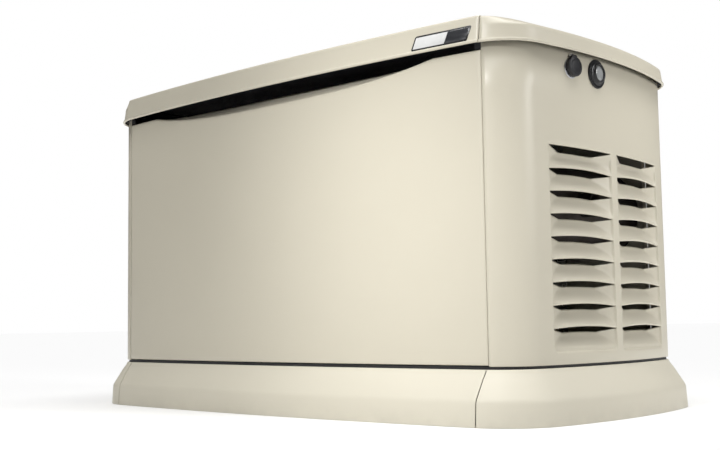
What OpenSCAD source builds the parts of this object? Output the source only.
// Home standby generator: weatherproof enclosure with a hinged lid and a lift-away
// front panel around an air-cooled V-twin engine and its alternator.
// Frame: origin on the ground under the middle of the base, +X to the louvred
// discharge end, -Y to the front panel, +Z up. Millimetres.

/* [Enclosure] */
// Half the length over the crowns of the two end panels
half_length = 609.5; // [580:0.5:640]
// Half the depth over the crowns of the front and rear panels
half_depth = 330; // [315:1:345]
// Plan radius of the bowed front and rear
front_bow_r = 5800; // [5000:100:8000]
// Plan radius of the bowed ends
end_bow_r = 1215; // [1000:5:1600]
// Plan radius of the four vertical corners
corner_r = 90; // [80:1:110]
// Distance from the crown of an end panel back to its two seams
seam_inset = 90; // [86:0.5:96]
// Sheet thickness of the enclosure
sheet = 2; // [1.5:0.1:3]
// Gap left and right of the front and rear panels
seam_gap = 1; // [0.5:0.1:2]

/* [Heights] */
// Height of the steel base tray
tray_h = 103; // [80:1:120]
// Height of the enclosure panels, from the tray to the eaves
panel_h = 566; // [540:1:620]
// Gap between the front panel's ends and the lid's lip
eave_gap = 10; // [8:0.5:14]
// Height of the lid's upright border
lid_rim_h = 52; // [40:1:70]
// Rise of the roof from its border to its ridge
roof_rise = 6; // [2:1:20]

/* [Lid] */
// How far the lid's lip stands out past the panels
lid_overhang = 14; // [10:0.5:20]
// Inward lean of the lid's border
lid_lean = 7; // [3:0.5:10]
// Sheet thickness of the lid
lid_sheet = 2; // [1.5:0.1:3]
// Width of the chamfer along the lid's two ends
lid_chamfer = 36; // [20:1:45]
// Thickness of the acoustic foam
foam_t = 15; // [10:1:25]

/* [Front panel] */
// Half the length of the finger scoop along the top edge
scoop_half = 412; // [350:1:440]
// Depth of the scoop
scoop_drop = 28; // [15:1:35]
// How far the scoop's floor reaches back
scoop_back = 30; // [20:1:36]

/* [Base wrap] */
// Flare of the plastic base wrap at the ground
wrap_flare = 36; // [25:1:45]
// Height of the crease in the base wrap
wrap_crease_z = 44; // [35:1:60]
// Wall of the base wrap
wrap_wall = 2.5; // [2:0.1:4]
// Gap between the wrap's top edge and the top of the tray
wrap_gap = 5; // [3:0.5:8]

/* [Louvres] */
// Number of louvre rows at each end
louvre_rows = 9; // [5:1:9]
// Vertical pitch of the louvres
louvre_pitch = 41.4; // [38:0.1:44]
// Height of the lowest louvre's crease
louvre_z0 = 133; // [125:1:150]
// Width of one louvre pocket
louvre_w = 196; // [150:1:205]
// Width of the plain strip between the two columns
louvre_strip = 20; // [14:1:40]
// Depth to which a louvre's top edge is pressed in
louvre_depth = 11.5; // [8:0.5:16]
// Length of a pocket's sloping cheek
louvre_cheek = 30; // [20:1:45]
// Height of a louvre's blade
louvre_blade = 25; // [20:0.5:27]
// Height of the opening above each blade
louvre_slot = 8; // [5:0.5:10]
// Rise of the arched lip above each opening
louvre_arch = 4; // [0:0.5:5]

/* [Fittings] */
// Distance of the side locks in front of the middle
lock_y = 135; // [110:1:160]
// Distance of the side locks below the lid's lip
lock_drop = 29; // [27:1:39]
// Radius of the lock's cover
lock_r = 18.5; // [15:0.5:19]
// Distance of the status window in front of the middle
window_y = 55; // [40:1:80]
// Distance of the status window below the lid's lip
window_drop = 30; // [29:1:45]
// Outer radius of the status window's ring
window_r = 28; // [22:0.5:28]
// Radius of the clear lens
lens_r = 14.5; // [10:0.5:18]

/* [Hinges] */
// Distance of each lid hinge from the middle
hinge_x = 210; // [120:1:400]
// Length of a hinge
hinge_len = 60; // [40:1:80]
// Radius of a hinge pin
hinge_pin_r = 2.5; // [2:0.1:3.5]
// Radial clearance of a turning pin
pin_clear = 0.05; // [0.03:0.01:0.1]

/* [Engine] */
// Height of the crankshaft above the ground
crank_z = 262; // [258:1:275]
// Radius of the main journals
journal_r = 25; // [20:0.5:28]
// Radius of the cylinder fins
fin_r = 58; // [50:1:60]
// Fins on each cylinder
fin_count = 9; // [6:1:10]
// Radius of the alternator's housing
stator_r = 115; // [100:1:118]
// Length of the alternator's housing
stator_len = 260; // [220:1:270]
// Radius of the flywheel
flywheel_r = 118; // [100:1:122]
// Radius of the muffler
muffler_r = 92; // [80:1:95]
// Length of the muffler
muffler_len = 440; // [400:1:460]

/* [Services] */
// Radius of the fuel inlet's threaded socket
fuel_bore_r = 12; // [9:0.5:14]
// Radius of the conduit hub's bore
conduit_bore_r = 17; // [13:0.5:20]
// Radius of the anchor holes in the tray's floor
anchor_r = 6.5; // [5:0.5:8]
// Spacing of the anchor holes along the length
anchor_dx = 900; // [700:10:960]
// Spacing of the anchor holes along the depth
anchor_dy = 440; // [380:10:480]

/* [Hidden] */
$fn = 48;
eps = 0.01;
// Gaps between pieces that rest on each other, behind bowed sheets and at the ends of hoses
seat_gap = 0.3;
back_gap = 0.9;
end_gap = 0.8;

panel_seam_x = half_length - seam_inset;
lid_seam_x = panel_seam_x + 2.5;
panel_z0 = tray_h + 2;
panel_top_z = tray_h + panel_h;
eave_z = panel_top_z + eave_gap;
end_top_z = eave_z + 11;
lock_z = eave_z - lock_drop;
window_z = eave_z - window_drop;
muffler_x = half_length - 159.5;

// ---- plan outline: bowed front, rear and ends joined by round corners ----
front_c = [0, front_bow_r - half_depth];
end_c = [half_length - end_bow_r, 0];
front_in = front_bow_r - corner_r;
end_in = end_bow_r - corner_r;
centres_d = norm(end_c - front_c);
along_d = (front_in * front_in - end_in * end_in + centres_d * centres_d) / (2 * centres_d);
across_d = sqrt(front_in * front_in - along_d * along_d);
centres_u = (end_c - front_c) / centres_d;
corner_c = front_c + along_d * centres_u + across_d * [-centres_u[1], centres_u[0]];
front_a = atan2(corner_c[1] - front_c[1], corner_c[0] - front_c[0]);
end_a = atan2(corner_c[1], corner_c[0] - end_c[0]);

// Place of the front face at x, at an offset outside the panels' outer face
function front_y(x, off = 0) =
  abs(x) <= (front_bow_r + off) * cos(front_a)
    ? front_c[1] - sqrt(pow(front_bow_r + off, 2) - x * x)
    : corner_c[1] - sqrt(pow(corner_r + off, 2) - pow(abs(x) - corner_c[0], 2));

// Place of the right end face at y
function end_x(y, off = 0) =
  abs(y) <= -(end_bow_r + off) * sin(end_a)
    ? end_c[0] + sqrt(pow(end_bow_r + off, 2) - y * y)
    : corner_c[0] + sqrt(pow(corner_r + off, 2) - pow(abs(y) + corner_c[1], 2));

function arc(c, r, a0, a1, n) =
  [for (i = [0:n]) let (a = a0 + (a1 - a0) * i / n) c + r * [cos(a), sin(a)]];
function tail(list) = [for (i = [1:len(list) - 1]) list[i]];
function flip_y(p) = [p[0], -p[1]];
function reversed(list) = [for (i = [len(list) - 1:-1:0]) list[i]];

// Front face from -x to +x
function front_path(off, x, n = 16) =
  [for (i = [0:n]) let (u = -x + 2 * x * i / n) [u, front_y(u, off)]];

// Right end from the front seam round both corners to the rear seam
function corner_path(off, x) =
  arc(corner_c, corner_r + off, -acos((x - corner_c[0]) / (corner_r + off)), end_a, 8);
function end_path(off, x, n = 12) =
  let (c = corner_path(off, x))
  concat(c, tail(arc(end_c, end_bow_r + off, end_a, -end_a, n)),
         tail([for (p = reversed(c)) flip_y(p)]));
function end_path_at(off, x, ys) =
  let (c = corner_path(off, x))
  concat(c, [for (y = ys) [end_x(y, off), y]], [for (p = reversed(c)) flip_y(p)]);

// Whole outline, closed
function outline(off) =
  let (e = end_path(off, panel_seam_x), f = front_path(off, panel_seam_x))
  concat(e, [for (p = tail(f)) -p], tail([for (p = e) -p]), tail(reversed(tail(reversed(f)))));

// Wall strip between two offsets along a path
function strip(outer, inner) = concat(outer, reversed(inner));

module prism(points, z0, z1) {
  translate([0, 0, z0]) linear_extrude(z1 - z0) polygon(points);
}

// ---- sheets given as two grids of points: the outer face and the inner face ----
function flat_list(rows) = [for (r = rows) for (p = r) p];
function is_open(open, i, j) = len([for (c = open) if (c[0] == i && c[1] == j) 1]) > 0;

module sheet_of(outer, inner, open = []) {
  m = len(outer);
  n = len(outer[0]);
  shift = m * n;
  gone = [for (i = [-1:m - 1]) [for (j = [-1:n - 1])
    i < 0 || j < 0 || i == m - 1 || j == n - 1 || is_open(open, i, j)]];
  faces = [for (i = [0:m - 2]) for (j = [0:n - 2]) if (!gone[i + 1][j + 1])
    let (a = i * n + j, b = a + n, c = b + 1, d = a + 1)
    each concat(
      [[a, b, c], [a, c, d]],
      [[shift + a, shift + c, shift + b], [shift + a, shift + d, shift + c]],
      gone[i][j + 1] ? [[a, d, shift + d], [a, shift + d, shift + a]] : [],
      gone[i + 2][j + 1] ? [[c, b, shift + b], [c, shift + b, shift + c]] : [],
      gone[i + 1][j] ? [[b, a, shift + a], [b, shift + a, shift + b]] : [],
      gone[i + 1][j + 2] ? [[d, c, shift + c], [d, shift + c, shift + d]] : [])];
  polyhedron(concat(flat_list(outer), flat_list(inner)), faces);
}

// ---- placing helpers ----
module at_right_end(y, z, off = 0) {
  a = asin(y / end_bow_r);
  translate([end_c[0], 0, z]) rotate([0, 0, a]) translate([end_bow_r + off, 0, 0])
    rotate([0, 90, 0]) children();
}
module both_ends() {
  children();
  mirror([1, 0, 0]) children();
}
module along_x(x0, x1, y, z, r) {
  translate([x0, y, z]) rotate([0, 90, 0]) cylinder(h = x1 - x0, r = r);
}
module along_y(y0, y1, x, z, r) {
  translate([x, y0, z]) rotate([-90, 0, 0]) cylinder(h = y1 - y0, r = r);
}
module block(x0, x1, y0, y1, z0, z1) {
  translate([x0, y0, z0]) cube([x1 - x0, y1 - y0, z1 - z0]);
}

// ---- base tray ----
tray_wall = 3;
tray_off = -4;
tray_flange = 34;
rail_h = 60;
rail_w = 60;
alternator_rail_x = 180;
engine_rail_x = -100;
mount_y = 150;
lift_hole_r = 20;
lift_hole_x = 430;
lift_hole_z = 52;
tray_in = tray_off - tray_wall;

module cross_rail(x) {
  reach = -front_y(x, tray_in) + eps;
  difference() {
    block(x - rail_w / 2, x + rail_w / 2, -reach, reach, tray_wall - eps, rail_h);
    block(x - rail_w / 2 + tray_wall, x + rail_w / 2 - tray_wall, -reach + 5, reach - 5,
          tray_wall - 2 * eps, rail_h - tray_wall);
  }
}

module base_tray() {
  color([0.35, 0.36, 0.37]) difference() {
    union() {
      difference() {
        prism(outline(tray_off), 0, tray_h);
        prism(outline(tray_in), tray_wall, tray_h - tray_wall);
        prism(outline(tray_off - tray_flange), tray_h - tray_wall - eps, tray_h + eps);
      }
      cross_rail(alternator_rail_x);
      cross_rail(engine_rail_x);
    }
    for (x = [-lift_hole_x, lift_hole_x])
      along_y(-half_depth - 50, half_depth + 50, x, lift_hole_z, lift_hole_r);
    for (x = [-anchor_dx / 2, anchor_dx / 2]) for (y = [-anchor_dy / 2, anchor_dy / 2])
      translate([x, y, -1]) cylinder(h = tray_wall + 2, r = anchor_r);
  }
}

// ---- plastic base wrap in four pieces ----
wrap_top_z = tray_h - wrap_gap;
wrap_seam_x = panel_seam_x - 5.5;
wrap_seat = tray_off + 0.3;
wrap_outer = [
  [wrap_seat, wrap_top_z], [0.5, wrap_top_z], [wrap_flare - 5, wrap_crease_z + 5],
  [wrap_flare - 2, wrap_crease_z - 4], [wrap_flare, 0]
];
wrap_inner = [
  [wrap_seat, wrap_top_z - wrap_wall], [0.5 - wrap_wall / 2, wrap_top_z - wrap_wall],
  [wrap_flare - 5 - wrap_wall, wrap_crease_z + 3.5],
  [wrap_flare - 2 - wrap_wall, wrap_crease_z - 5], [wrap_flare - wrap_wall, 0]
];
function raised(path, z) = [for (p = path) [p[0], p[1], z]];

module fascia_side() {
  x = wrap_seam_x - seam_gap / 2;
  color([0.82, 0.79, 0.68]) sheet_of(
    [for (q = wrap_outer) raised(front_path(q[0], x), q[1])],
    [for (q = wrap_inner) raised(front_path(q[0], x), q[1])]);
}
module fascia_end() {
  color([0.82, 0.79, 0.68]) sheet_of(
    [for (q = wrap_outer) raised(end_path(q[0], wrap_seam_x), q[1])],
    [for (q = wrap_inner) raised(end_path(q[0], wrap_seam_x), q[1])]);
}
module fascia_front() fascia_side();
module fascia_rear() rotate([0, 0, 180]) fascia_side();
module fascia_right() fascia_end();
module fascia_left() rotate([0, 0, 180]) fascia_end();

// ---- end panels with pressed louvres ----
flange_w = 24;
pocket_ys = [0, louvre_cheek, louvre_w / 2, louvre_w - louvre_cheek, louvre_w];
louvre_ys = concat([for (u = reversed(pocket_ys)) -louvre_strip / 2 - u],
                   [for (u = pocket_ys) louvre_strip / 2 + u]);
louvre_pad = 8;
panel_ys = concat([-louvre_strip / 2 - louvre_w - louvre_pad], louvre_ys,
                  [louvre_strip / 2 + louvre_w + louvre_pad]);
first_pocket_col = 9 + 1;
function in_pocket(y) = let (u = abs(y) - louvre_strip / 2) u >= -eps && u <= louvre_w + eps;
function cheek_share(y) =
  let (u = abs(y) - louvre_strip / 2, v = louvre_w - u)
  in_pocket(y) ? min(1, max(0, u / louvre_cheek), max(0, v / louvre_cheek)) : 0;
function arch_share(y) =
  let (u = (abs(y) - louvre_strip / 2) / louvre_w) in_pocket(y) ? 4 * u * (1 - u) : 0;

// Rows as [height, share of the press depth, share of the arch]
louvre_row_list = concat(
  [for (k = [0:louvre_rows - 1]) let (z = louvre_z0 + k * louvre_pitch)
    each [[z, 0, 0], [z + louvre_blade, 1, 0],
          [z + louvre_blade + louvre_slot, 0, k < louvre_rows - 1 ? 1 : 0]]],
  [[louvre_z0 + louvre_rows * louvre_pitch + 10, 0, 0], [end_top_z, 0, 0]]);

// From the foot on the tray up the face to the top edge
function louvred_grid(off) = concat(
  [for (o = [-flange_w, off]) raised(end_path_at(o, panel_seam_x, panel_ys), tray_h - off)],
  [for (r = louvre_row_list) [for (p = end_path_at(off, panel_seam_x, panel_ys))
    let (inside = abs(p[1]) < louvre_strip / 2 + louvre_w + 1 && p[0] > corner_c[0])
    [p[0] - (inside ? r[1] * cheek_share(p[1]) * louvre_depth : 0), p[1],
     r[0] + (inside ? r[2] * arch_share(p[1]) * louvre_arch : 0)]]]);
pocket_cells = len(pocket_ys) - 1;
louvre_open = [for (k = [0:louvre_rows - 1]) for (c = [0, 1]) for (j = [0:pocket_cells - 1])
  [len(louvre_row_list) - 3 - 3 * k, first_pocket_col + c * (pocket_cells + 1) + j]];

module end_panel_shell() {
  difference() {
    sheet_of(reversed(louvred_grid(0)), reversed(louvred_grid(-sheet)), louvre_open);
    at_right_end(-lock_y, lock_z, -20) cylinder(h = 40, r = lock_barrel_r + 0.3);
  }
}
module right_end_panel() color([0.83, 0.80, 0.70]) difference() {
  end_panel_shell();
  at_right_end(-window_y, window_z, -20) cylinder(h = 40, r = window_neck_r + 0.3);
}
module left_end_panel() color([0.83, 0.80, 0.70]) mirror([1, 0, 0]) end_panel_shell();

// ---- rear panel ----
side_x = panel_seam_x - seam_gap;
service_z = 172;
fuel_x = -300;
conduit_x = -420;
module rear_panel() color([0.83, 0.80, 0.70]) rotate([0, 0, 180]) difference() {
  union() {
    prism(strip(front_path(0, side_x), front_path(-sheet, side_x)), panel_z0, panel_top_z);
    prism(strip(front_path(0, side_x), front_path(-sheet - 20, side_x)), panel_top_z - sheet,
          panel_top_z);
    prism(strip(front_path(-sheet, side_x), front_path(-sheet - flange_w, side_x)), tray_h,
          tray_h + sheet);
    prism(strip(front_path(-sheet / 2, side_x), front_path(-sheet, side_x)), tray_h, panel_z0);
  }
  along_y(-half_depth - 10, -half_depth + 40, -fuel_x, service_z, fuel_socket_r + 3);
  along_y(-half_depth - 10, -half_depth + 40, -conduit_x, service_z, conduit_neck_r + 0.3);
}

// ---- front panel with its finger scoop ----
function scoop_edge(x) =
  panel_top_z - scoop_drop + scoop_drop * pow(min(1, abs(x) / scoop_half), 3);
function scoop_floor(x) = panel_top_z - (panel_top_z - scoop_edge(x)) / 4;
scoop_columns = 32;
module front_panel() color([0.86, 0.83, 0.73]) {
  sheet_of(
    [raised(front_path(0, side_x, scoop_columns), panel_z0),
     [for (p = front_path(0, side_x, scoop_columns)) [p[0], p[1], scoop_edge(p[0])]],
     [for (p = front_path(-scoop_back, side_x, scoop_columns))
       [p[0], p[1], scoop_floor(p[0])]]],
    [raised(front_path(-sheet, side_x, scoop_columns), panel_z0),
     [for (p = front_path(-sheet, side_x, scoop_columns))
       [p[0], p[1], scoop_edge(p[0]) - sheet]],
     [for (p = front_path(-scoop_back, side_x, scoop_columns))
       [p[0], p[1], scoop_floor(p[0]) - sheet]]]);
  prism(strip(front_path(-sheet / 2, side_x), front_path(-sheet - 20, side_x)), panel_z0,
        panel_z0 + sheet);
  for (x = [-300, 300]) block(x - 20, x + 20, front_y(x, -8), front_y(x, -18),
                              tray_h + seat_gap, panel_z0 + sheet);
  both_ends() block(side_x - sheet, side_x, front_y(side_x, -sheet / 2),
                    front_y(side_x, -sheet - 16), panel_z0, panel_top_z - sheet);
}
foam_gap = 0.4;
foam_x = panel_seam_x - 39.5;
foam_top_z = panel_top_z - 44;
module front_panel_foam() color([0.16, 0.16, 0.17])
  prism(strip(front_path(-sheet - foam_gap, foam_x), front_path(-sheet - foam_t, foam_x)),
        panel_z0 + 8, foam_top_z);

// ---- inner frame ----
function bow_y(x, off) = front_c[1] - sqrt(pow(front_bow_r + off, 2) - x * x);
function bow_path(off, x, n = 16) =
  [for (i = [0:n]) let (u = -x + 2 * x * i / n) [u, bow_y(u, off)]];
header_z1 = panel_top_z - 5;
header_z0 = header_z1 - 28;
header_off = -scoop_back - 5;
module header_rail() color([0.30, 0.31, 0.32]) intersection() {
  prism(strip(bow_path(header_off, half_length), bow_path(header_off - 18, half_length)),
        header_z0, header_z1);
  prism(outline(-sheet - 0.2), header_z0 - 1, header_z1 + 1);
}
divider_x = muffler_x - muffler_r - 40;
divider_t = 2;
divider_y = -front_y(divider_x) - 29.3;
divider_top_z = panel_top_z - 49;
module divider_panel() color([0.62, 0.64, 0.66]) difference() {
  union() {
    block(divider_x, divider_x + divider_t, -divider_y + 26, divider_y - 26,
          tray_wall + seat_gap, tray_h + 2);
    block(divider_x, divider_x + divider_t, -divider_y, divider_y, tray_h + 1, divider_top_z);
  }
  along_x(divider_x - 1, divider_x + divider_t + 1, 0, crank_z, 90);
  for (s = [-1, 1])
    along_x(divider_x - 1, divider_x + divider_t + 1, s * port_y, port_z, exhaust_r + 10);
}
module panel_screws() color([0.72, 0.73, 0.74]) {
  for (y = [-200, -70, 70, 200]) both_ends()
    translate([end_x(y, -14), y, tray_h + sheet]) cylinder(h = 4, r = 6);
  for (x = [-460, -230, 0, 230, 460])
    translate([x, -front_y(x, -14), tray_h + sheet]) cylinder(h = 4, r = 6);
}

// ---- status window ----
window_neck_r = 18;
module window_ring() color([0.05, 0.05, 0.05]) at_right_end(-window_y, window_z) {
  difference() {
    union() {
      translate([0, 0, seat_gap]) cylinder(h = 3, r = window_r);
      translate([0, 0, 3]) cylinder(h = 3.5, r = window_r - 6);
      translate([0, 0, -12]) cylinder(h = 14, r = window_neck_r);
      translate([0, 0, -sheet - back_gap - 6]) cylinder(h = 6, r = window_r - 4);
    }
    translate([0, 0, -13]) cylinder(h = 30, r = lens_r + 0.2);
  }
}
module window_lens() color([0.85, 0.88, 0.88]) at_right_end(-window_y, window_z) {
  translate([0, 0, -4]) cylinder(h = 9.5, r = lens_r);
  translate([0, 0, 5.5]) cylinder(h = 1.5, r1 = lens_r, r2 = lens_r - 3);
}

// ---- side locks: bezel and cap hinge on the panel, turning barrel, flip cap ----
lock_barrel_r = 11;
lock_bezel_r = 15;
cap_pin_r = 1.5;
cap_pin_z = 4.6;
cap_pin_up = lock_r + 3;
cap_knuckle_r = 2.9;
cap_wall = 2;
cap_h = 7;
cam_in = -7;
cam_t = 2.5;
cam_reach = 30;
cam_tip_len = 13;
striker_half = 8;

module lock_housing() at_right_end(-lock_y, lock_z) {
  difference() {
    union() {
      translate([0, 0, seat_gap]) cylinder(h = 1.5, r = lock_bezel_r);
      translate([-cap_pin_up - 1.5, -8, seat_gap]) cube([cap_pin_up + 1.5, 16, 1.2 - seat_gap]);
      for (s = [-1, 1]) translate([-cap_pin_up - 2, s * 6.5 - 1.5, seat_gap])
        cube([4, 3, cap_pin_z + 1.5]);
      translate([-cap_pin_up, 0, cap_pin_z]) rotate([90, 0, 0])
        cylinder(h = 15, r = cap_pin_r, center = true);
    }
    translate([0, 0, -1]) cylinder(h = 10, r = lock_barrel_r + 0.3);
  }
  difference() {
    translate([0, 0, -sheet - back_gap - 3]) cylinder(h = 3, r = lock_bezel_r);
    translate([0, 0, -20]) cylinder(h = 30, r = lock_barrel_r + 0.3);
  }
}
module lock_housings() color([0.55, 0.56, 0.57]) both_ends() lock_housing();

module lock_cam() at_right_end(-lock_y, lock_z) {
  difference() {
    translate([0, 0, cam_in]) cylinder(h = 3.2 - cam_in, r = lock_barrel_r);
    translate([-6, -0.8, 1.5]) cube([12, 1.6, 3]);
  }
  translate([-5, -cam_reach, cam_in - cam_t]) cube([10, cam_reach + 5, cam_t + eps]);
  translate([-5, -cam_reach - 3, cam_in - cam_t - cam_tip_len])
    cube([10, 3 + eps, cam_tip_len + cam_t + eps]);
}
module lock_cam_right() color([0.70, 0.71, 0.72]) lock_cam();
module lock_cam_left() color([0.70, 0.71, 0.72]) mirror([1, 0, 0]) lock_cam();

module lock_cap() at_right_end(-lock_y, lock_z) difference() {
  union() {
    translate([0, 0, 1.6]) cylinder(h = cap_h - 1.6, r = lock_r);
    translate([-cap_pin_up, 0, cap_pin_z]) rotate([90, 0, 0])
      cylinder(h = 9, r = cap_knuckle_r, center = true);
    translate([-cap_pin_up, -4.5, cap_pin_z - 1]) cube([8, 9, cap_h - cap_pin_z - 0.5]);
  }
  translate([0, 0, 0]) cylinder(h = cap_h - cap_wall, r = lock_bezel_r + 0.6);
  translate([-cap_pin_up, 0, cap_pin_z]) rotate([90, 0, 0])
    cylinder(h = 20, r = cap_pin_r + pin_clear, center = true);
  translate([-cap_pin_up + 1.5, -9, 0]) cube([6, 18, 1.9]);
}
module lock_cap_right() color([0.07, 0.07, 0.07]) lock_cap();
module lock_cap_left() color([0.07, 0.07, 0.07]) mirror([1, 0, 0]) lock_cap();

// ---- lid ----
lid_step = 1.5;
lid_band_h = 34;
lid_gap = 0.8;
lid_top_z = eave_z + lid_rim_h;
ridge_z = lid_top_z + roof_rise;
function squeezed(path, x0, cut) =
  let (reach = max([for (p = path) p[0]]) - x0)
  [for (p = path) [x0 + (p[0] - x0) * (reach - cut) / reach, p[1]]];
module ring_at(points, z) translate([0, 0, z]) linear_extrude(eps) polygon(points);

module lid_end_solid(t, x0, z0) hull() {
  ring_at(end_path(lid_overhang - lid_step - t, x0), z0);
  ring_at(end_path(lid_overhang - lid_step - lid_lean * lid_band_h / lid_rim_h - t, x0),
          eave_z + lid_band_h - t / 2);
  ring_at(squeezed(end_path(lid_overhang - lid_step - lid_lean - t, x0), x0, lid_chamfer),
          lid_top_z - eps - lid_step - t);
  translate([x0, -half_depth / 8, ridge_z - lid_step - eps - t]) cube([20, half_depth / 4, eps]);
}
module roof_end() difference() {
  lid_end_solid(0, lid_seam_x + lid_gap / 2, eave_z);
  lid_end_solid(lid_sheet, lid_seam_x - 2, eave_z - 1);
}
function full_path(off, x) = let (f = front_path(off, x, 12)) concat(f, [for (p = f) -p]);
module lid_center_solid(t, x0, z0) hull() {
  ring_at(full_path(lid_overhang - t, x0), z0);
  ring_at(full_path(lid_overhang - lid_lean - t, x0), lid_top_z - eps - t);
  translate([-x0, -half_depth / 8, ridge_z - eps - t]) cube([2 * x0, half_depth / 4, eps]);
}
module roof_center() color([0.85, 0.82, 0.73]) difference() {
  lid_center_solid(0, lid_seam_x - lid_gap / 2, eave_z);
  lid_center_solid(lid_sheet, lid_seam_x + 2, eave_z - 1);
}
module roof_end_right() color([0.85, 0.82, 0.73]) roof_end();
module roof_end_left() color([0.85, 0.82, 0.73]) mirror([1, 0, 0]) roof_end();
lid_foam_top = lid_top_z - lid_sheet - 0.4;
lid_foam_x = lid_seam_x - 4;
module lid_foam() color([0.16, 0.16, 0.17]) intersection() {
  prism(outline(-10), lid_foam_top - foam_t, lid_foam_top);
  block(-lid_foam_x, lid_foam_x, -half_depth, half_depth, header_z1, ridge_z);
}

// ---- lid hinges at the rear, strikers for the side locks ----
hinge_y = half_depth + lid_overhang + 8;
hinge_z = eave_z - 3;
knuckle_r = hinge_pin_r + 3;
knuckle_len = hinge_len / 3;
leaf_t = 2.5;
leaf_clear = 0.3;
hinge_side_x = hinge_x - hinge_len / 2;
wall_y = -front_y(hinge_side_x) + leaf_clear;
function rim_y(z) =
  -front_y(hinge_side_x, lid_overhang) + leaf_clear - lid_lean * (z - eave_z) / lid_rim_h;

module hinge_profile(x0, x1, points) translate([x0, 0, 0]) rotate([90, 0, 90])
  linear_extrude(x1 - x0) polygon(points);
module hinge_bore(x) along_x(x - hinge_len, x + hinge_len, hinge_y, hinge_z,
                             hinge_pin_r + pin_clear);
module hinge_leaves_fixed() color([0.30, 0.30, 0.31]) for (x = [-hinge_x, hinge_x])
  difference() {
    union() {
      for (s = [-1, 1]) translate([x + s * knuckle_len, 0, 0]) {
        along_x(-knuckle_len / 2, knuckle_len / 2, hinge_y, hinge_z, knuckle_r);
        hinge_profile(-knuckle_len / 2, knuckle_len / 2,
          [[hinge_y - knuckle_r, hinge_z], [hinge_y, hinge_z - knuckle_r],
           [wall_y + leaf_t, hinge_z - 24], [wall_y, hinge_z - 24], [wall_y, hinge_z - 20]]);
      }
      block(x - hinge_len / 2, x + hinge_len / 2, wall_y, wall_y + leaf_t, hinge_z - 66,
            hinge_z - 20);
    }
    hinge_bore(x);
  }
module hinge_pins() color([0.72, 0.73, 0.74]) for (x = [-hinge_x, hinge_x]) {
  along_x(x - hinge_len / 2 - 3, x + hinge_len / 2 + 3, hinge_y, hinge_z, hinge_pin_r);
  for (s = [-1, 1]) translate([x + s * (hinge_len / 2 + 2), 0, 0])
    along_x(-1.5, 1.5, hinge_y, hinge_z, hinge_pin_r + 1.5);
}
striker_t = 2;
striker_off = cam_in - cam_t - cam_tip_len - 3.5;
band_off = lid_overhang - lid_step - lid_lean * lid_band_h / lid_rim_h - lid_sheet;
chamfer_off = lid_overhang - lid_step - lid_lean - lid_sheet - lid_chamfer;
chamfer_z0 = eave_z + lid_band_h - lid_sheet / 2;
chamfer_z1 = lid_top_z - lid_step - lid_sheet;
striker_top = chamfer_z0 + 0.4
  + (chamfer_z1 - chamfer_z0) * (band_off - striker_off - striker_t) / (band_off - chamfer_off);
module lid_striker() at_right_end(-lock_y, lock_z) {
  reach = striker_top - lock_z;
  translate([-reach, -striker_half, striker_off])
    cube([reach - 12, 2 * striker_half, striker_t]);
  translate([-14.5, -striker_half, striker_off])
    cube([2.5, 2 * striker_half, cam_in - cam_t - 1 - striker_off]);
}
module lid_hardware() color([0.30, 0.30, 0.31]) {
  for (x = [-hinge_x, hinge_x]) difference() {
    union() {
      along_x(x - knuckle_len / 2 + 0.4, x + knuckle_len / 2 - 0.4, hinge_y, hinge_z, knuckle_r);
      hinge_profile(x - knuckle_len / 2 + 0.4, x + knuckle_len / 2 - 0.4,
        [[rim_y(eave_z + 12), eave_z + 12], [hinge_y - knuckle_r * 0.7, hinge_z],
         [hinge_y + knuckle_r * 0.6, hinge_z + knuckle_r * 0.8],
         [rim_y(eave_z + 14) + leaf_t, eave_z + 14]]);
      hinge_profile(x - hinge_len / 2, x + hinge_len / 2,
        [[rim_y(eave_z + 12), eave_z + 12], [rim_y(eave_z + 12) + leaf_t, eave_z + 12],
         [rim_y(eave_z + 42) + leaf_t, eave_z + 42], [rim_y(eave_z + 42), eave_z + 42]]);
    }
    hinge_bore(x);
  }
  both_ends() lid_striker();
}

// ---- engine: air-cooled V-twin ----
case_x0 = -190;
case_x1 = -15;
case_half = 105;
case_down = 110;
seat_r = 100;
cavity_r = 80;
case_wall = 18;
bore_r = 40;
front_cyl_x = -130;
rear_cyl_x = -95;
barrel_len = 80;
head_len = 50;
head_half = 50;
head_x = 55;
cover_len = 28;
foot_z0 = 100;
foot_z1 = 112;
head_r0 = seat_r + barrel_len;
port_r = head_r0 + head_len / 2;
port_y = port_r * sin(45);
port_z = crank_z + port_r * cos(45);
exhaust_r = 15;
dip_x = -35;
dip_y = -case_half - 11;
dip_top_z = crank_z + 138;

// Children stand on the cylinder's axis: +Z runs from the crankshaft to the head
module on_cylinder(side) translate([side < 0 ? front_cyl_x : rear_cyl_x, 0, crank_z])
  rotate([-side * 45, 0, 0]) children();
module both_cylinders() for (side = [-1, 1]) on_cylinder(side) children();

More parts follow.
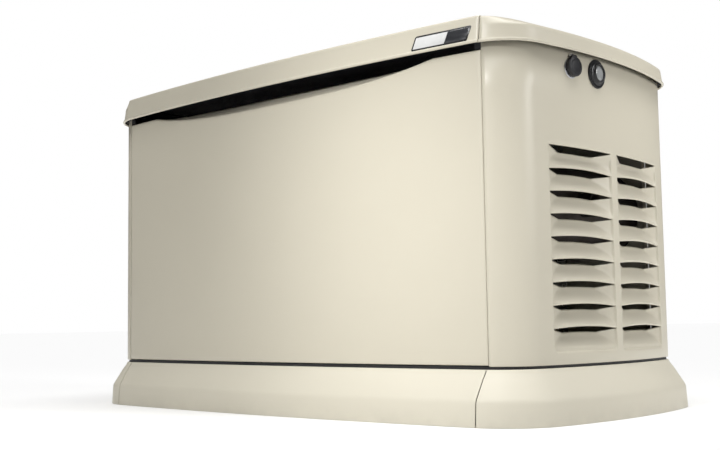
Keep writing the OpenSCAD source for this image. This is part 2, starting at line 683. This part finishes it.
module crankcase() color([0.55, 0.56, 0.57]) difference() {
  union() {
    translate([case_x0, 0, crank_z]) rotate([90, 0, 90]) linear_extrude(case_x1 - case_x0)
      polygon([[-case_half, -case_down], [case_half, -case_down],
               [case_half, seat_r * sqrt(2) - case_half], [20, seat_r * sqrt(2) - 20],
               [-20, seat_r * sqrt(2) - 20], [-case_half, seat_r * sqrt(2) - case_half]]);
    block(engine_rail_x - 45, engine_rail_x + 45, -case_half + 10, case_half - 10, foot_z0,
          crank_z - case_down + 1);
    block(engine_rail_x - 30, engine_rail_x + 30, -mount_y - 28, mount_y + 28, foot_z0, foot_z1);
    translate([dip_x, dip_y, crank_z - 50]) cylinder(h = dip_top_z - crank_z + 50, r = 9);
    block(dip_x - 9, dip_x + 9, dip_y, -case_half + 1, crank_z - 50, crank_z - 30);
  }
  along_x(case_x0 - 1, case_x1 + 1, 0, crank_z, journal_r + pin_clear);
  along_x(case_x0 + case_wall, case_x1 - case_wall, 0, crank_z, cavity_r);
  both_cylinders() cylinder(h = seat_r + 1, r = bore_r);
  translate([dip_x, dip_y, crank_z - 30]) cylinder(h = dip_top_z, r = 6);
}
module cylinder_barrels() color([0.48, 0.49, 0.50]) both_cylinders()
  translate([0, 0, seat_r + seat_gap]) difference() {
    union() {
      cylinder(h = barrel_len - 2 * seat_gap, r = bore_r + 6);
      for (i = [0:fin_count - 1])
        translate([0, 0, 4 + i * (barrel_len - 10) / fin_count]) cylinder(h = 2.5, r = fin_r);
    }
    translate([0, 0, -1]) cylinder(h = barrel_len + 2, r = bore_r);
  }
module cylinder_heads() color([0.55, 0.56, 0.57]) both_cylinders()
  translate([0, 0, head_r0]) difference() {
    translate([-head_x, -head_half, 0]) cube([2 * head_x, 2 * head_half, head_len]);
    for (s = [-1, 1]) for (i = [0:4]) translate([-head_x - 1, s * (head_half + 1) - 7, 6 + i * 9])
      cube([2 * head_x + 2, 14, 5]);
  }
module valve_covers() color([0.12, 0.12, 0.13]) both_cylinders()
  translate([12, 0, head_r0 + head_len + seat_gap]) linear_extrude(cover_len)
    offset(r = 8) square([64, 62], center = true);
module spark_plugs() color([0.10, 0.10, 0.11]) both_cylinders()
  translate([-42, 0, head_r0 + head_len + seat_gap]) {
    cylinder(h = 16, r = 7);
    translate([0, 0, 16 - eps]) cylinder(h = 22, r1 = 8, r2 = 6);
  }

fly_x0 = case_x0 - 54;
module crankshaft() color([0.60, 0.61, 0.62]) {
  along_x(case_x0 - 2, -136 + eps, 0, crank_z, journal_r);
  along_x(fly_x0 - 2, case_x0 - 2 + eps, 0, crank_z, 17);
  along_x(fly_x0 - 10, fly_x0 - 1, 0, crank_z, 22);
  for (x = [-136, -60]) along_x(x, x + 16, 0, crank_z, 66);
  along_x(-120 - eps, -60 + eps, 34, crank_z, 18);
  along_x(-44 - eps, case_x1 + 7, 0, crank_z, journal_r);
  along_x(case_x1 + 7 - eps, rotor_x0 - 2, 0, crank_z, 20);
  along_x(rotor_x0 - 2 - eps, rotor_x0 + 60, 0, crank_z, 12.5);
}
module flywheel_fan() color([0.35, 0.36, 0.37]) difference() {
  union() {
    along_x(fly_x0, case_x0 - 10, 0, crank_z, 32);
    along_x(case_x0 - 24, case_x0 - 10, 0, crank_z, flywheel_r);
    for (i = [0:15]) translate([0, 0, crank_z]) rotate([i * 22.5, 0, 0])
      block(fly_x0 + 2, case_x0 - 24 + eps, 60, flywheel_r - 6, -2, 2);
  }
  along_x(fly_x0 - 1, case_x0, 0, crank_z, 17 + pin_clear);
}
module blower_housing() color([0.10, 0.10, 0.11]) difference() {
  along_x(fly_x0 - 18, case_x0 - seat_gap, 0, crank_z, flywheel_r + 14);
  along_x(fly_x0 - 15, case_x0 - seat_gap - 3, 0, crank_z, flywheel_r + 11);
  along_x(fly_x0 - 19, fly_x0, 0, crank_z, flywheel_r - 23);
  along_x(case_x0 - 10, case_x0 + 1, 0, crank_z, 60);
}

// ---- alternator ----
stator_x0 = case_x1 + seat_gap;
stator_x1 = stator_x0 + stator_len;
rotor_x0 = 30;
air_gap = 2;
stator_bore_r = stator_r - 25;
module alternator_stator() color([0.20, 0.21, 0.22]) difference() {
  union() {
    along_x(stator_x0, stator_x1, 0, crank_z, stator_r);
    block(alternator_rail_x - 30, alternator_rail_x + 30, -mount_y - 28, mount_y + 28, foot_z0,
          foot_z1);
    block(alternator_rail_x - 25, alternator_rail_x + 25, -80, 80, foot_z0 + 1, crank_z - 60);
  }
  along_x(stator_x0 + 12, stator_x1 + 1, 0, crank_z, stator_bore_r);
  along_x(stator_x0 - 1, stator_x0 + 13, 0, crank_z, 45);
}
module alternator_end_bell() color([0.55, 0.56, 0.57]) difference() {
  along_x(stator_x1 + seat_gap, stator_x1 + 30, 0, crank_z, stator_r - 2);
  along_x(stator_x1, stator_x1 + 22, 0, crank_z, stator_r - 12);
  along_x(stator_x1, stator_x1 + 31, 0, crank_z, 15 + pin_clear);
  for (i = [0:7]) translate([0, 0, crank_z]) rotate([i * 45 + 22.5, 0, 0])
    along_x(stator_x1 + 20, stator_x1 + 31, 68, 0, 17);
}
module alternator_rotor() color([0.45, 0.30, 0.18]) difference() {
  union() {
    along_x(rotor_x0, stator_x1 - 35, 0, crank_z, stator_bore_r - air_gap);
    along_x(stator_x1 - 36, stator_x1 + 28, 0, crank_z, 15);
  }
  along_x(rotor_x0 - 1, rotor_x0 + 62, 0, crank_z, 12.5 + pin_clear);
  for (i = [0:1]) translate([0, 0, crank_z]) rotate([i * 180, 0, 0])
    block(rotor_x0 - 1, stator_x1 - 34, -26, 26, stator_bore_r - 22, stator_bore_r + 5);
}
module engine_mounts() color([0.09, 0.09, 0.09])
  for (x = [engine_rail_x, alternator_rail_x]) for (y = [-mount_y, mount_y])
    translate([x, y, rail_h + seat_gap]) rotate_extrude() polygon([[0, 0], [24, 0], [19, 10],
      [17, 20], [19, foot_z0 - rail_h - 10], [24, foot_z0 - rail_h - 2 * seat_gap],
      [0, foot_z0 - rail_h - 2 * seat_gap]]);

// ---- intake, fuel, exhaust ----
mixer_z0 = crank_z + 145;
mixer_z1 = mixer_z0 + 56;
arm_z = mixer_z0 + 40;
arm_r = 13;
arm_y = arm_z - arm_r - crank_z - head_half * sqrt(2) - seat_gap;
module fuel_mixer() color([0.62, 0.63, 0.64]) {
  block(-150, -60, -28, 28, mixer_z0, mixer_z1);
  for (s = [0, 1]) rotate([0, 0, s * 180]) translate([s == 0 ? rear_cyl_x : -front_cyl_x, 0, 0])
    along_y(27, arm_y, 0, arm_z, arm_r);
}
module air_cleaner_box() color([0.11, 0.11, 0.12]) {
  block(-172, -28, -78, 78, mixer_z1 + seat_gap, mixer_z1 + 60);
  block(-178, -22, -84, 84, mixer_z1 + 60 + seat_gap - 1, mixer_z1 + 88);
}
reg_y1 = half_depth - 50;
reg_y0 = reg_y1 - 48;
reg_r = 52;
module fuel_regulator() color([0.55, 0.56, 0.57]) difference() {
  union() {
    along_y(reg_y0, reg_y1, fuel_x, service_z, reg_r);
    along_x(fuel_x - reg_r - 8, fuel_x, (reg_y0 + reg_y1) / 2, service_z, 17);
    block(fuel_x - 18, fuel_x + 18, reg_y0 + 8, reg_y1 - 8, tray_wall + seat_gap, service_z - 30);
    translate([fuel_x, (reg_y0 + reg_y1) / 2, service_z]) cylinder(h = reg_r + 14, r = 15);
  }
  along_x(fuel_x - reg_r - 9, fuel_x - reg_r + 6, (reg_y0 + reg_y1) / 2, service_z,
          4 + pin_clear);
}
module fuel_selector() color([0.75, 0.12, 0.08]) {
  along_x(fuel_x - reg_r - 26, fuel_x - reg_r - 8 - seat_gap, (reg_y0 + reg_y1) / 2,
          service_z, 15);
  along_x(fuel_x - reg_r - 9, fuel_x - reg_r + 4, (reg_y0 + reg_y1) / 2, service_z, 4);
  block(fuel_x - reg_r - 36, fuel_x - reg_r - 25, (reg_y0 + reg_y1) / 2 - 4,
        (reg_y0 + reg_y1) / 2 + 4, service_z - 13, service_z + 13);
}
fuel_socket_r = fuel_bore_r + 5;
socket_y1 = half_depth + 14;
module fuel_pipe() color([0.12, 0.12, 0.12]) difference() {
  union() {
    along_y(socket_y1 - 34, socket_y1, fuel_x, service_z, fuel_socket_r);
    along_y(reg_y1 + seat_gap, socket_y1 - 33, fuel_x, service_z, fuel_bore_r - 1);
  }
  along_y(socket_y1 - 22, socket_y1 + 1, fuel_x, service_z, fuel_bore_r);
}
conduit_neck_r = conduit_bore_r + 4;
module conduit_hub() color([0.55, 0.56, 0.57]) difference() {
  union() {
    along_y(half_depth - 40, half_depth + 8, conduit_x, service_z, conduit_neck_r);
    along_y(half_depth - 6, half_depth + 4, conduit_x, service_z, conduit_neck_r + 7);
    along_y(half_depth - 36, half_depth - 30, conduit_x, service_z, conduit_neck_r + 7);
  }
  along_y(half_depth - 41, half_depth + 9, conduit_x, service_z, conduit_bore_r);
}

// Round tube swept along a smooth curve through a few points
function unit(v) = v / norm(v);
function curve_at(p, i, t) =
  let (a = p[max(0, i - 1)], b = p[i], c = p[i + 1], d = p[min(len(p) - 1, i + 2)])
  0.5 * (2 * b + (c - a) * t + (2 * a - 5 * b + 4 * c - d) * t * t
         + (3 * b - a - 3 * c + d) * t * t * t);
function curve(p, n) =
  concat([for (i = [0:len(p) - 2]) for (k = [0:n - 1]) curve_at(p, i, k / n)], [p[len(p) - 1]]);
function tangents(c) =
  [for (i = [0:len(c) - 1]) unit(c[min(len(c) - 1, i + 1)] - c[max(0, i - 1)])];
function carried(ts, i, u) =
  i == len(ts) ? [] : let (v = unit(u - (u * ts[i]) * ts[i])) concat([v], carried(ts, i + 1, v));
module tube(points, r, n = 5, sides = 10) {
  c = curve(points, n);
  ts = tangents(c);
  us = carried(ts, 0, cross(ts[0], abs(ts[0][2]) > 0.8 ? [1, 0, 0] : [0, 0, 1]));
  m = len(c);
  rings = [for (i = [0:m - 1]) for (k = [0:sides - 1])
    let (w = cross(ts[i], us[i]), a = 360 * k / sides) c[i] + r * (cos(a) * us[i] + sin(a) * w)];
  polyhedron(rings, concat(
    [for (i = [0:m - 2]) for (k = [0:sides - 1]) let (k2 = (k + 1) % sides)
      each [[i * sides + k, (i + 1) * sides + k, (i + 1) * sides + k2],
            [i * sides + k, (i + 1) * sides + k2, i * sides + k2]]],
    [[for (k = [0:sides - 1]) k]], [[for (k = [0:sides - 1]) m * sides - 1 - k]]));
}
hose_y = (reg_y0 + reg_y1) / 2;
module fuel_hose() color([0.08, 0.08, 0.08]) tube([
  [fuel_x, hose_y, service_z + reg_r + 14 + end_gap], [fuel_x, hose_y, 300], [-300, 225, 370],
  [-294, 150, 425], [-270, 60, mixer_z0 + 26], [-220, 6, mixer_z0 + 30],
  [-190, 0, mixer_z0 + 30], [-150 - end_gap, 0, mixer_z0 + 30]], 12);

inlet_x = muffler_x - muffler_r - 14;
module exhaust_pipes() color([0.42, 0.38, 0.34])
  for (side = [-1, 1]) {
    x0 = (side < 0 ? front_cyl_x : rear_cyl_x) + head_x + seat_gap;
    along_x(x0, inlet_x - seat_gap, side * port_y, port_z, exhaust_r);
    along_x(x0, x0 + 8, side * port_y, port_z, exhaust_r + 8);
  }
module muffler() color([0.45, 0.44, 0.43]) difference() {
  union() {
    along_y(-muffler_len / 2, muffler_len / 2, muffler_x, port_z, muffler_r);
    for (s = [-1, 1]) along_x(inlet_x, muffler_x - 40, s * port_y, port_z, exhaust_r + 6);
    for (s = [-1, 1]) block(divider_x + divider_t + seat_gap, muffler_x - muffler_r + 8,
                            s * 60 - 2, s * 60 + 2, port_z - 35, port_z + 35);
    along_x(muffler_x + 40, muffler_x + muffler_r + 26, 0, port_z, 24);
  }
  along_y(-muffler_len / 2 + 3, muffler_len / 2 - 3, muffler_x, port_z, muffler_r - 3);
  for (s = [-1, 1]) along_x(inlet_x - 1, muffler_x, s * port_y, port_z, exhaust_r);
  along_x(muffler_x, muffler_x + muffler_r + 27, 0, port_z, 21);
}

// ---- oil, starting, battery ----
module oil_filter() color([0.85, 0.83, 0.78]) {
  along_y(case_half + seat_gap, case_half + 12, -60, crank_z - 62, 24);
  along_y(case_half + 12 - eps, case_half + 88, -60, crank_z - 62, 36);
}
starter_y = -case_half - 34;
starter_z = crank_z - 37;
starter_r = 32;
module starter_motor() color([0.13, 0.13, 0.14]) {
  along_x(case_x0 + 2, case_x0 + 128, starter_y, starter_z, starter_r);
  block(case_x0 + 12, case_x0 + 30, starter_y, -case_half - seat_gap, starter_z - 24,
        starter_z + 24);
  along_x(case_x0 + 30, case_x0 + 110, starter_y + 8, starter_z + 44, 15);
}
battery_x0 = 97.5 - half_length;
battery_x1 = battery_x0 + 173;
battery_y0 = front_y(battery_x0) + 45.1;
battery_y1 = battery_y0 + 208;
battery_z1 = 200;
terminal_y = battery_y1 - 32;
module battery() color([0.08, 0.08, 0.09]) {
  block(battery_x0, battery_x1, battery_y0, battery_y1, tray_wall + seat_gap, battery_z1 - 20);
  block(battery_x0 + 4, battery_x1 - 4, battery_y0 + 4, battery_y1 - 4, battery_z1 - 21,
        battery_z1);
  for (x = [battery_x0 + 35, battery_x1 - 35])
    translate([x, terminal_y, battery_z1 - eps]) cylinder(h = 16, r = 9);
}
cable_r = 5;
terminal_z = battery_z1 + 16 + end_gap;
cable_y = starter_y - starter_r - cable_r - end_gap;
ground_x = battery_x0 + 62;
ground_y = battery_y1 + 28;
module battery_cables() color([0.55, 0.05, 0.04]) {
  tube([[battery_x1 - 35, terminal_y, terminal_z], [battery_x1 - 35, terminal_y, 242],
        [-335, -118, 266], [-290, -150, 266], [-240, -172, 248],
        [-190, cable_y, starter_z + 2], [-150, cable_y, starter_z]], cable_r, 5, 8);
  tube([[battery_x0 + 35, terminal_y, terminal_z], [battery_x0 + 35, terminal_y, 242],
        [battery_x0 + 48, terminal_y + 40, 252], [ground_x - 3, ground_y - 4, 222],
        [ground_x, ground_y, 150], [ground_x, ground_y, 60],
        [ground_x, ground_y, tray_wall + end_gap]], cable_r, 5, 8);
}

// ---- controls ----
box_x0 = 84.5 - half_length;
box_x1 = box_x0 + 195;
box_y0 = front_y(box_x0) + 24.1;
box_y1 = box_y0 + 110;
box_z1 = panel_top_z - 69;
box_z0 = box_z1 - 160;
button_r = 9;
button_clear = 0.3;
button_h = 10;
button_out = 4;
button_y = box_y0 + 40;
auto_x = box_x0 + 113;
button_pitch = 28;
module control_box() color([0.20, 0.21, 0.22]) difference() {
  union() {
    block(box_x0, box_x1, box_y0, box_y1, box_z0, box_z1);
    block(box_x1 - 4, box_x1, box_y0 + 8, box_y1, tray_wall + seat_gap, box_z0 + 1);
  }
  for (i = [0:2]) translate([auto_x + i * button_pitch, button_y, box_z1 - 12])
    cylinder(h = 20, r = button_r + button_clear);
}
module display_window() color([0.35, 0.42, 0.38])
  block(box_x0 + 15, box_x0 + 85, button_y - 24, button_y + 22, box_z1 + seat_gap, box_z1 + 2);
module mode_button(i) translate([auto_x + i * button_pitch, button_y,
                                 box_z1 + button_out - button_h])
  cylinder(h = button_h, r = button_r);
module auto_button() color([0.10, 0.45, 0.15]) mode_button(0);
module manual_button() color([0.10, 0.20, 0.55]) mode_button(1);
module off_button() color([0.75, 0.10, 0.08]) mode_button(2);

breaker_x0 = box_x1 + seat_gap;
breaker_w = 66;
breaker_y = box_y0 + 45;
breaker_top = box_z1 - 10;
toggle_x = breaker_x0 + breaker_w / 2;
toggle_z = breaker_top - 10;
toggle_swing = 30;
module main_breaker() color([0.09, 0.09, 0.10]) difference() {
  block(breaker_x0, breaker_x0 + breaker_w, breaker_y - 38, breaker_y + 38, breaker_top - 90,
        breaker_top);
  block(toggle_x - 9, toggle_x + 9, breaker_y - 20, breaker_y + 20, toggle_z - 9,
        breaker_top + 1);
  along_x(toggle_x - 16, toggle_x + 16, breaker_y, toggle_z, 3 + pin_clear);
}
module breaker_toggle() color([0.06, 0.06, 0.06]) {
  along_x(toggle_x - 14, toggle_x + 14, breaker_y, toggle_z, 3);
  along_x(toggle_x - 8, toggle_x + 8, breaker_y, toggle_z, 7);
  translate([toggle_x, breaker_y, toggle_z]) rotate([toggle_swing, 0, 0])
    translate([-6, -3, 0]) cube([12, 6, 26]);
}

// ---- dipstick ----
module dipstick() color([0.80, 0.65, 0.10]) translate([dip_x, dip_y, 0]) {
  translate([0, 0, crank_z - 25]) cylinder(h = dip_top_z - crank_z + 26, r = 3);
  translate([0, 0, dip_top_z + seat_gap]) cylinder(h = 12, r = 10);
}

base_tray();
fascia_front();
fascia_rear();
fascia_left();
fascia_right();
right_end_panel();
left_end_panel();
rear_panel();
divider_panel();
header_rail();
panel_screws();
window_ring();
window_lens();
lock_housings();
hinge_leaves_fixed();
hinge_pins();
crankcase();
cylinder_barrels();
cylinder_heads();
valve_covers();
blower_housing();
alternator_stator();
alternator_end_bell();
air_cleaner_box();
fuel_mixer();
fuel_regulator();
fuel_pipe();
fuel_hose();
exhaust_pipes();
muffler();
oil_filter();
starter_motor();
battery();
battery_cables();
control_box();
display_window();
main_breaker();
engine_mounts();
spark_plugs();
conduit_hub();
front_panel();
front_panel_foam();
roof_center();
roof_end_right();
roof_end_left();
lid_foam();
lid_hardware();
crankshaft();
flywheel_fan();
alternator_rotor();
lock_cam_right();
lock_cam_left();
lock_cap_right();
lock_cap_left();
dipstick();
breaker_toggle();
fuel_selector();
auto_button();
manual_button();
off_button();
